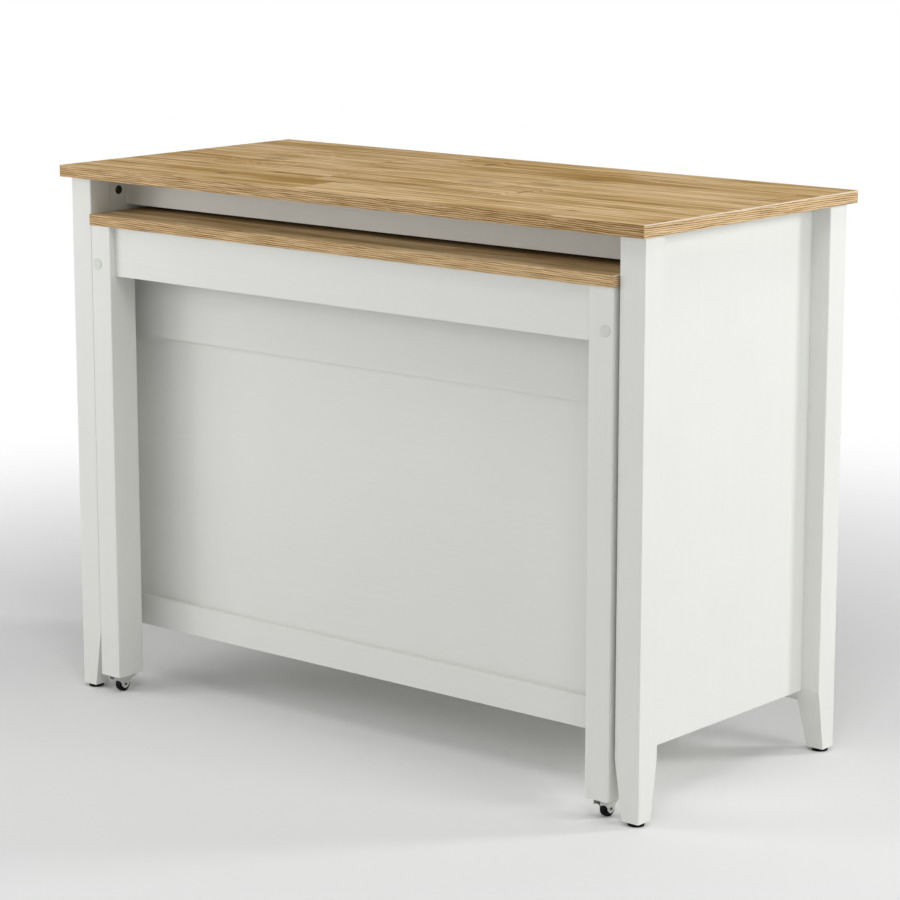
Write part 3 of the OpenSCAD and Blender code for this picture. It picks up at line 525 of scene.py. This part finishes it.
def oak_top(finish, seed, marks, upper, bleach, tones):
    """Oak-faced board: staves, grain and marks on its faces, a plain backing and a banded rim, with
    a painted highlight along the upper edge of the rim at its ends.

    upper is the height of its upper face, bleach pales the faces, and tones shift the rim at its
    left, its right and its ends."""

    def build(w, shader, place):
        x, y, z = w.split(place)
        normal = w.split(w.node("ShaderNodeNewGeometry").outputs["True Normal"])
        rim = w.math("LESS_THAN", w.math("ABSOLUTE", normal[2]), LEVEL_FACE)
        end = w.math("GREATER_THAN", w.math("ABSOLUTE", normal[0]), END_FACE)
        light, middle = tuple(finish.oak_light), tuple(finish.oak_middle)
        dark, backing = tuple(finish.oak_dark), tuple(finish.backing)
        band_dark, band_light = tuple(finish.band_dark), tuple(finish.band_light)
        stave, seam, butt = stave_joints(w, x, y, finish, seed)

        # Marks, and the grain that bends round them
        heart, bend = 0.0, 0.0
        for mark_x, mark_y, length, width, strength in marks:
            mark = w.effect(
                wood_mark(),
                Vector=place,
                Place=(mark_x, mark_y, 0.0),
                Half=(length, width, 1.0),
                Strength=strength,
            )
            heart = w.math("MAXIMUM", heart, mark["Heart"])
            bend = w.math("ADD", bend, mark["Bend"])

        # Grain of the faces, shifted from stave to stave
        shift = w.math("MULTIPLY", stave, 7.3)
        face_x = w.math("ADD", x, shift)
        face_y = w.math("ADD", w.math("ADD", y, bend), w.math("MULTIPLY", shift, 0.37))
        face_at = w.join(face_x, face_y, z)
        wide = w.effect(
            wood_grain(),
            Vector=face_at,
            Streak_Length=0.55,
            Streak_Width=0.026,
            Waviness=0.035,
            Seed=seed,
        )
        fine = w.effect(
            wood_grain(),
            Vector=face_at,
            Streak_Length=0.11,
            Streak_Width=0.0050,
            Waviness=0.02,
            Seed=seed + 2,
        )
        cloud = w.noise(w.vector("MULTIPLY", face_at, (3.0, 11, 1)), 1.0, 3, 0.5)
        depth = 0.5
        for pattern, gain in (
            (wide["Streaks"], 2.5),
            (wide["Figure"], 0.35),
            (fine["Streaks"], 2.5),
            (cloud, 1.6),
            (stave, 0.18),
        ):
            about_zero = w.math("SUBTRACT", pattern, 0.5)
            depth = w.math("ADD", depth, w.math("MULTIPLY", about_zero, gain))
        face = w.ramp(depth, [(0.0, dark), (0.5, middle), (1.0, light)])
        face = w.mix(w.math("MULTIPLY", fine["Pores"], 0.30), face, dark)
        face = w.mix(w.math("MULTIPLY", seam, 0.20), face, dark)
        face = w.mix(w.math("MULTIPLY", butt, 0.45), face, dark)
        face = w.mix(heart, face, tuple(finish.oak_knot))
        below = w.math("LESS_THAN", normal[2], -LEVEL_FACE)
        face = w.mix(below, w.mix(bleach, face, backing), w.mix(fine["Pores"], backing, middle))

        # Rim: a band of veneer whose lines wander up and down as they run along the edge
        run = w.blend_value(end, x, w.math("ADD", y, END_SHIFT))
        band = w.effect(
            wood_grain(),
            Vector=w.join(run, z, seed),
            Streak_Length=0.07,
            Streak_Width=0.0030,
            Waviness=0.012,
            Seed=seed,
        )
        wander_at = w.join(w.math("MULTIPLY", run, 18.0), w.math("MULTIPLY", z, 80.0), seed)
        wander = w.noise(wander_at, 1.0, 3, 0.6)
        slant = w.math("ADD", z, w.math("MULTIPLY", run, RIM_SLANT))
        phase = w.math("DIVIDE", slant, finish.band_pitch)
        phase = w.math("ADD", phase, w.math("MULTIPLY", wander, RIM_WANDER))
        lines = w.math("SINE", w.math("MULTIPLY", phase, math.tau))
        lines = w.math("MULTIPLY", lines, w.blend_value(end, *RIM_CONTRAST))
        tone = w.math("ADD", lines, w.remap(band["Streaks"], 0.28, 0.72, 0.12, 0.84))
        tone_left, tone_right, tone_end = tones
        tone_shift = w.blend_value(end, w.remap(x, -0.3, 0.6, tone_left, tone_right), tone_end)
        tone = w.math("ADD", tone, tone_shift, clamp=True)
        edge = w.mix(tone, band_dark, band_light)
        edge = w.mix(w.math("MULTIPLY", band["Pores"], 0.25), edge, band_dark)
        # Painted highlight: the ends' rims turn pale just under the upper face, where light catches
        # the eased edge
        corner = w.remap(z, upper - HIGHLIGHT_FOOT, upper - HIGHLIGHT_TOP, 0.04, 0.90)
        painted_highlight = w.math("MULTIPLY", end, corner)
        edge = w.mix(painted_highlight, edge, tuple(finish.painted_rim_highlight))

        w.feed(shader.inputs["Base Color"], w.mix(rim, face, edge))
        touch = w.effect(handling(), Vector=place, Scale=4.0)
        smudged = w.remap(touch["Smudge"], 0, 1, 0.46, 0.56)
        gloss = w.math("ADD", smudged, w.math("MULTIPLY", fine["Pores"], 0.15))
        w.feed(shader.inputs["Roughness"], gloss)
        shader.inputs["Specular IOR Level"].default_value = 0.02
        ridges = w.math("MULTIPLY", fine["Streaks"], 0.5)
        relief = w.math("SUBTRACT", ridges, w.math("MULTIPLY", fine["Pores"], 0.8))
        relief = w.math("SUBTRACT", relief, w.math("MULTIPLY", w.math("MAXIMUM", seam, butt), 0.5))
        bump(w, shader, relief, 0.00008)

    return finish_of(f"oak_laminate_{seed:g}", build)


def bare_wood(finish):
    """Turned beech, for the dowels."""

    def build(w, shader, place):
        grain = w.effect(
            wood_grain(), Vector=place, Streak_Length=0.03, Streak_Width=0.0008, Waviness=0.001
        )
        beech = tuple(finish.beech)
        darker = tuple(channel * 0.72 for channel in beech[:3]) + (1.0,)
        shade = w.remap(grain["Streaks"], 0.35, 0.7)
        w.feed(shader.inputs["Base Color"], w.mix(shade, darker, beech))
        w.feed(shader.inputs["Roughness"], w.remap(grain["Pores"], 0, 1, 0.6, 0.75))
        bump(w, shader, grain["Streaks"], 0.00005)

    return finish_of("beech_dowel_finish", build)


def plated(finish, axis):
    """Zinc-plated steel, rolled along one axis."""

    def build(w, shader, place):
        metal = w.effect(brushed_streaks(), Vector=along_grain(w, place, axis))
        zinc = tuple(finish.zinc)
        dull = tuple(channel * 0.86 for channel in zinc[:3]) + (1.0,)
        w.feed(shader.inputs["Base Color"], w.mix(metal["Mottle"], dull, zinc))
        shader.inputs["Metallic"].default_value = 0.65
        w.feed(shader.inputs["Roughness"], w.remap(metal["Scratches"], 0.3, 0.7, 0.32, 0.50))
        bump(w, shader, metal["Scratches"], 0.00001)

    return finish_of(f"zinc_plated_{axis}", build)


def cast_zinc(finish):
    """Dark cast zinc, for the cam locks and the casters' axles."""

    def build(w, shader, place):
        skin = w.effect(moulded_texture(), Vector=place, Pebble=0.0008)
        dark = tuple(finish.dark_zinc)
        worn = tuple(min(1.0, channel * 1.9) for channel in dark[:3]) + (1.0,)
        wear = w.math("MULTIPLY", skin["Sheen"], 0.5)
        w.feed(shader.inputs["Base Color"], w.mix(wear, dark, worn))
        shader.inputs["Metallic"].default_value = 0.6
        w.feed(shader.inputs["Roughness"], w.remap(skin["Sheen"], 0, 1, 0.42, 0.6))
        bump(w, shader, skin["Height"], 0.00004)

    return finish_of("dark_zinc_cast", build)


def moulded(name, colour, roughness, pebble, sheen):
    """Moulded plastic with a fine pebbled skin."""

    def build(w, shader, place):
        skin = w.effect(moulded_texture(), Vector=place, Pebble=pebble)
        touch = w.effect(handling(), Vector=place, Scale=40.0)
        base = tuple(colour)
        paler = tuple(channel * 0.94 + 0.006 for channel in base[:3]) + (1.0,)
        w.feed(shader.inputs["Base Color"], w.mix(touch["Smudge"], base, paler))
        gloss = w.remap(skin["Sheen"], 0, 1, roughness - 0.05, roughness + 0.07)
        w.feed(shader.inputs["Roughness"], gloss)
        shader.inputs["Specular IOR Level"].default_value = sheen
        bump(w, shader, skin["Height"], 0.00003)

    return finish_of(name, build)


# ---------- Dressing of the model's nodes ----------


def node_object(name):
    if name not in NODES:
        raise RuntimeError(f"the packed model has no node named {name}")
    return NODES[name]


def dress(names, material, edge=0.0, segments=2):
    """Gives nodes their finish and, with an edge radius, eases their sharp edges."""
    for name in names:
        obj = node_object(name)
        if not obj.material_slots:
            raise RuntimeError(f"node {name} has no material slot")
        for slot in obj.material_slots:
            slot.material = material
        if edge > 0:
            ease(obj, edge, segments)


WELD_DISTANCE = 0.00001  # metres
FLAT_ANGLE = math.radians(0.4)  # faces that meet at less are one flat face
SHARP_ANGLE = math.radians(32)  # edges that turn by more are eased


def ease(obj, radius, segments):
    """Joins the faces of a node and rounds its sharp edges, leaving its own mesh as it is."""
    joined = obj.modifiers.new("Joined faces", "WELD")
    joined.merge_threshold = WELD_DISTANCE
    flat = obj.modifiers.new("Flat faces", "DECIMATE")
    flat.decimate_type = "DISSOLVE"
    flat.angle_limit = FLAT_ANGLE
    rounded = obj.modifiers.new("Eased edges", "BEVEL")
    rounded.width = radius
    rounded.segments = segments
    rounded.limit_method = "ANGLE"
    rounded.angle_limit = SHARP_ANGLE
    shading = obj.modifiers.new("Even shading", "WEIGHTED_NORMAL")
    shading.weight = 90
    shading.keep_sharp = False


class PieceOperator(bpy.types.Operator):
    """Dresses some of the table's pieces"""

    bl_idname = "table.piece"
    bl_label = "Piece"
    bl_options = {"REGISTER", "UNDO"}

    def execute(self, context):
        self.build(context.scene.table_finish)
        return {"FINISHED"}


class TABLE_OT_oak_tops(PieceOperator):
    """Faces the main top and the leaf's top with oak and eases their edges"""

    bl_idname = "table.oak_tops"
    bl_label = "Oak tops"

    def build(self, finish):
        main = oak_top(finish, 0.0, TOP_MARKS, MAIN_TOP_UPPER, 0.0, MAIN_RIM_TONES)
        leaf = oak_top(finish, 3.7, LEAF_MARKS, LEAF_TOP_UPPER, 0.15, LEAF_RIM_TONES)
        dress(["main_top"], main, finish.top_edge, 3)
        dress(["leaf_top"], leaf, finish.top_edge, 3)


class TABLE_OT_posts_and_legs(PieceOperator):
    """Paints the four posts and the leaf's two legs, grain upright"""

    bl_idname = "table.posts_and_legs"
    bl_label = "Posts and legs"

    def build(self, finish):
        posts = [f"post_{end}_{side}" for end in ("front", "rear") for side in ("left", "right")]
        dress(posts, painted(finish, "Z", 0.0), finish.board_edge)
        dress(["leaf_leg_left", "leaf_leg_right"], painted(finish, "Z", 1.0), finish.board_edge)


class TABLE_OT_side_panels(PieceOperator):
    """Paints the side panels and the centre divider, grain upright"""

    bl_idname = "table.side_panels"
    bl_label = "Side panels and divider"

    def build(self, finish):
        panels = ["side_panel_left", "side_panel_right", "centre_divider"]
        dress(panels, painted(finish, "Z", 2.0), finish.board_edge)


class TABLE_OT_rails(PieceOperator):
    """Paints the rails, the fascia and the closing panel, grain level"""

    bl_idname = "table.rails"
    bl_label = "Rails, fascia and closing panel"

    def build(self, finish):
        rails = [
            "cross_rail",
            "closing_rail_upper",
            "closing_rail_lower",
            "rear_fascia",
            "toe_rail",
        ]
        dress(rails, painted(finish, "X", 0.0), finish.board_edge)
        dress(["closing_panel"], painted(finish, "X", 1.0), finish.board_edge)


class TABLE_OT_boards(PieceOperator):
    """Paints the deck, the bottom board and the shelves, grain level"""

    bl_idname = "table.boards"
    bl_label = "Deck, bottom and shelves"

    def build(self, finish):
        dress(["deck", "bottom_board"], painted(finish, "X", 2.0), finish.board_edge)
        dress(["shelf_left", "shelf_right"], painted(finish, "X", 3.0), finish.board_edge)


class TABLE_OT_leaf_frame(PieceOperator):
    """Paints the apron, rails and batten under the leaf"""

    bl_idname = "table.leaf_frame"
    bl_label = "Leaf frame"

    def build(self, finish):
        dress(["leaf_apron", "leaf_rear_rail"], painted(finish, "X", 4.0), finish.board_edge)
        lengthwise = ["leaf_side_rail_left", "leaf_side_rail_right", "leaf_batten"]
        dress(lengthwise, painted(finish, "Y", 0.0), finish.board_edge)


class TABLE_OT_slides(PieceOperator):
    """Plates the members of the two slides and their ball cages"""

    bl_idname = "table.slides"
    bl_label = "Slides and ball cages"

    def build(self, finish):
        for side in ("left", "right"):
            members = [f"slide_{member}_{side}" for member in ("outer", "middle", "inner")]
            dress(members, plated(finish, "Y"), finish.metal_edge)
            dress([f"cage_outer_{side}", f"cage_inner_{side}"], plated(finish, "Y"))


class TABLE_OT_casters(PieceOperator):
    """Finishes the casters under the leaf's legs: brackets, axles and wheels"""

    bl_idname = "table.casters"
    bl_label = "Casters"

    def build(self, finish):
        wheel = moulded("black_plastic_wheel", finish.rubber, 0.45, 0.0005, 0.06)
        for side in ("left", "right"):
            dress([f"caster_bracket_{side}"], plated(finish, "Z"), finish.metal_edge)
            dress([f"caster_axle_{side}"], cast_zinc(finish))
            dress([f"caster_wheel_{side}"], wheel)


class TABLE_OT_floor_glides(PieceOperator):
    """Finishes the floor glides under the posts"""

    bl_idname = "table.floor_glides"
    bl_label = "Floor glides"

    def build(self, finish):
        glide = moulded("black_plastic_glide", finish.rubber, 0.5, 0.0007, 0.06)
        dress(["floor_glides"], glide, finish.metal_edge)


class TABLE_OT_cam_fittings(PieceOperator):
    """Finishes the cam locks and their bolts"""

    bl_idname = "table.cam_fittings"
    bl_label = "Cam locks and bolts"

    def build(self, finish):
        dress(["cam_locks"], cast_zinc(finish))
        dress(["cam_bolts"], plated(finish, "Y"))


class TABLE_OT_brackets_and_screws(PieceOperator):
    """Plates the angle brackets, screws, leg bolts, barrel nuts and shelf pins"""

    bl_idname = "table.brackets_and_screws"
    bl_label = "Brackets, screws and pins"

    def build(self, finish):
        dress(["top_brackets", "leaf_brackets"], plated(finish, "X"), finish.metal_edge)
        small = [
            "top_bracket_screws",
            "leaf_bracket_screws",
            "slide_panel_screws",
            "slide_rail_screws",
            "caster_screws",
            "leg_bolts",
            "barrel_nuts",
            "shelf_pins",
        ]
        dress(small, plated(finish, "Y"))


class TABLE_OT_dowels(PieceOperator):
    """Gives the dowels their bare beech"""

    bl_idname = "table.dowels"
    bl_label = "Dowels"

    def build(self, finish):
        dress(["dowels", "leaf_dowels"], bare_wood(finish))


class TABLE_OT_cover_caps(PieceOperator):
    """Finishes the caps over the leg bolts"""

    bl_idname = "table.cover_caps"
    bl_label = "Cover caps"

    def build(self, finish):
        cap = moulded("white_plastic_cap", finish.cap, 0.45, 0.0005, 0.35)
        dress(["cover_caps"], cap, finish.metal_edge)


# ---------- Stage ----------


FLOOR_REACH = 60.0  # metres from the middle of the floor to each side
FLOOR_GAP = 0.0002  # metres from the floor up to the table's feet

# Each soft lamp's place and side in metres, and its power in watts
LAMPS = {
    "right": ((4.5, 0.0, 1.6), 2.0, 23.0),
    "right_high": ((4.4, 0.6, 2.2), 1.4, 29.6),
    "right_back": ((3.2, 3.0, 2.0), 0.8, 42.7),
    "right_back_low": ((3.2, 3.0, 1.4), 0.8, 19.8),
    "right_front": ((3.4, -3.4, 1.6), 1.8, 13.8),
    "front_near": ((-1.5, -1.9, 1.3), 1.2, 11.3),
    "left_low": ((-3.6, -2.8, 0.9), 2.0, 41.4),
    "top_front": ((1.6, -1.8, 3.4), 1.2, 23.3),
    "overhead": ((0.0, 0.0, 3.6), 3.0, 14.0),
}


def lamp(name, place, aim, size, power):
    """A square soft lamp at a place, turned to an aim."""
    data = bpy.data.lights.new(name, "AREA")
    data.shape = "SQUARE"
    data.size = size
    data.energy = power
    obj = bpy.data.objects.new(name, data)
    bpy.context.scene.collection.objects.link(obj)
    obj.location = place
    obj.rotation_euler = (Vector(aim) - Vector(place)).to_track_quat("-Z", "Y").to_euler()


def seen_rays(w):
    """1 for rays from the camera, off gloss and through glass."""
    path = w.node("ShaderNodeLightPath").outputs
    seen = w.math("MAXIMUM", path["Is Camera Ray"], path["Is Glossy Ray"])
    return w.math("MAXIMUM", seen, path["Is Transmission Ray"])


def floor_finish(stage):
    """A pale floor that fades to white away from the table."""
    material = bpy.data.materials.new("pale_floor")
    material.use_nodes = True
    tree = material.node_tree
    tree.nodes.clear()
    w = Wiring(tree)
    place = w.node("ShaderNodeTexCoord").outputs["Object"]
    far = w.remap(w.vector("LENGTH", place), 0.75, 2.6, smooth=True)
    fade = w.math("MULTIPLY", far, seen_rays(w))
    plain = w.node("ShaderNodeBsdfDiffuse", {"Color": tuple(stage.floor)})
    white = w.node("ShaderNodeEmission", {"Color": (1, 1, 1, 1), "Strength": 1.0})
    shown = w.node("ShaderNodeMixShader", {"Fac": fade})
    w.feed(shown.inputs[1], plain.outputs[0])
    w.feed(shown.inputs[2], white.outputs[0])
    output = w.node("ShaderNodeOutputMaterial")
    w.feed(output.inputs["Surface"], shown.outputs[0])
    return material


class TABLE_OT_stage(bpy.types.Operator):
    """Sets out the floor, the lamps, the white surroundings and the camera"""

    bl_idname = "table.stage"
    bl_label = "Stage"
    bl_options = {"REGISTER", "UNDO"}

    def execute(self, context):
        scene = context.scene
        stage = scene.table_stage
        self.floor(stage)
        self.world(scene, stage)
        self.lamps()
        self.camera(scene, stage)
        scene.view_settings.view_transform = "Standard"
        return {"FINISHED"}

    def floor(self, stage):
        mesh = bpy.data.meshes.new("floor")
        signs = ((-1, -1), (1, -1), (1, 1), (-1, 1))
        corners = [(right * FLOOR_REACH, back * FLOOR_REACH, 0) for right, back in signs]
        mesh.from_pydata(corners, [], [(0, 1, 2, 3)])
        mesh.materials.append(floor_finish(stage))
        floor = bpy.data.objects.new("floor", mesh)
        bpy.context.scene.collection.objects.link(floor)
        floor.location.z = TABLE_LOW.z - FLOOR_GAP

    def world(self, scene, stage):
        world = bpy.data.worlds.new("white_surroundings")
        world.use_nodes = True
        tree = world.node_tree
        tree.nodes.clear()
        w = Wiring(tree)
        soft = w.node(
            "ShaderNodeBackground",
            {"Color": tuple(stage.ambient), "Strength": stage.ambient_strength},
        )
        white = w.node("ShaderNodeBackground", {"Color": (1, 1, 1, 1), "Strength": 1.0})
        shown = w.node("ShaderNodeMixShader", {"Fac": seen_rays(w)})
        w.feed(shown.inputs[1], soft.outputs[0])
        w.feed(shown.inputs[2], white.outputs[0])
        output = w.node("ShaderNodeOutputWorld")
        w.feed(output.inputs["Surface"], shown.outputs[0])
        scene.world = world

    def lamps(self):
        middle = (TABLE_LOW + TABLE_HIGH) / 2
        for name, (place, size, power) in LAMPS.items():
            lamp(name, place, middle, size, power)

    def camera(self, scene, stage):
        a, e = stage.azimuth, stage.elevation
        back = Vector((math.sin(a) * math.cos(e), -math.cos(a) * math.cos(e), math.sin(e)))
        aim = Vector((stage.aim_right, 0.0, stage.aim_height))
        data = bpy.data.cameras.new("camera")
        data.lens = stage.lens
        camera = bpy.data.objects.new("camera", data)
        scene.collection.objects.link(camera)
        camera.location = aim + back * stage.distance
        camera.rotation_euler = (-back).to_track_quat("-Z", "Y").to_euler()
        scene.camera = camera


# ---------- Panel and registration ----------

PIECES = (
    TABLE_OT_oak_tops,
    TABLE_OT_posts_and_legs,
    TABLE_OT_side_panels,
    TABLE_OT_rails,
    TABLE_OT_boards,
    TABLE_OT_leaf_frame,
    TABLE_OT_slides,
    TABLE_OT_casters,
    TABLE_OT_floor_glides,
    TABLE_OT_cam_fittings,
    TABLE_OT_brackets_and_screws,
    TABLE_OT_dowels,
    TABLE_OT_cover_caps,
    TABLE_OT_stage,
)


class TABLE_PT_pieces(bpy.types.Panel):
    """Lists the table's pieces and what may be changed about them"""

    bl_idname = "TABLE_PT_pieces"
    bl_label = "Cabinet table"
    bl_space_type = "VIEW_3D"
    bl_region_type = "UI"
    bl_category = "Table"

    def draw(self, context):
        layout = self.layout
        for settings in (context.scene.table_finish, context.scene.table_stage):
            box = layout.box()
            for name in settings.__annotations__:
                box.prop(settings, name)
        column = layout.column(align=True)
        for piece in PIECES:
            column.operator(piece.bl_idname)


CLASSES = (TableFinish, TableStage, *PIECES, TABLE_PT_pieces)


def register():
    for made in CLASSES:
        bpy.utils.register_class(made)
    bpy.types.Scene.table_finish = PointerProperty(type=TableFinish)
    bpy.types.Scene.table_stage = PointerProperty(type=TableStage)


def unregister():
    del bpy.types.Scene.table_stage
    del bpy.types.Scene.table_finish
    for made in reversed(CLASSES):
        bpy.utils.unregister_class(made)


def main():
    """Registers the add-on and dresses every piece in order."""
    register()
    for piece in PIECES:
        group, name = piece.bl_idname.split(".")
        getattr(getattr(bpy.ops, group), name)()
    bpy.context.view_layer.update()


if __name__ == "__main__":
    main()
